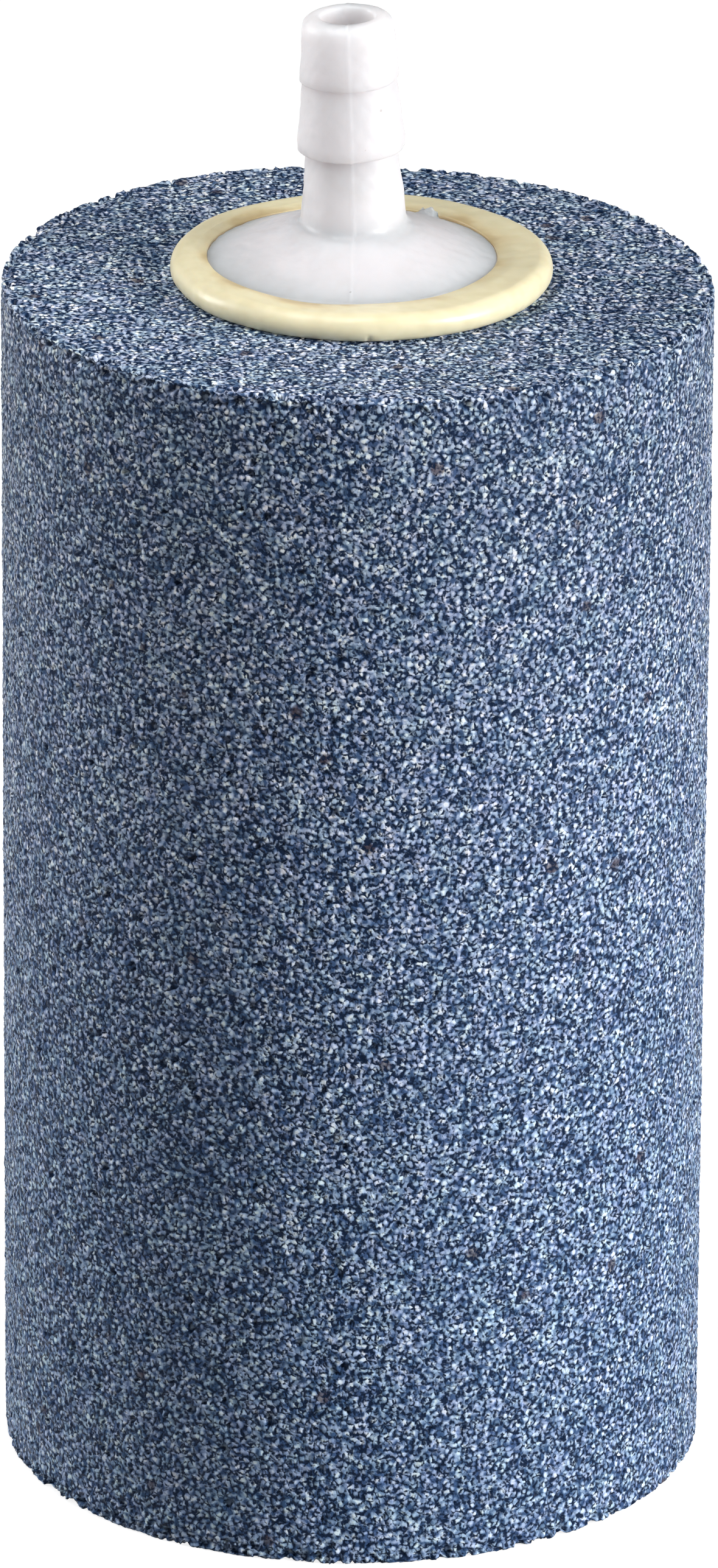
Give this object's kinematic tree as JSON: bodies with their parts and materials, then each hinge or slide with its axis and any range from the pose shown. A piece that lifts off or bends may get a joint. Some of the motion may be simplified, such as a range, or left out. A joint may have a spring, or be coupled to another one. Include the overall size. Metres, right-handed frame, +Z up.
{
  "type": "air stone",
  "caption": "Cylindrical air stone of bonded blue mineral grains with a barbed hose nozzle, for breaking pump air into fine bubbles in a pond or an aquarium.",
  "frame": {"origin": "centre of the stone's flat bottom face", "axes": "+Z up along the stone's axis, towards the nozzle; the nozzle's stem leans towards -X; its mould parting line faces -Y"},
  "size_m": [0.05, 0.05, 0.1071],
  "materials": {
    "stone_grain": "granular, porous",
    "nozzle_plastic": "satin, translucent",
    "washer_rubber": "smooth",
    "epoxy": "cured resin"
  },
  "bodies": {
    "root": {"stone_body": "stone_grain", "hose_nozzle": "nozzle_plastic", "seal_washer": "washer_rubber", "adhesive_sleeve": "epoxy"}
  },
  "joints": []
}
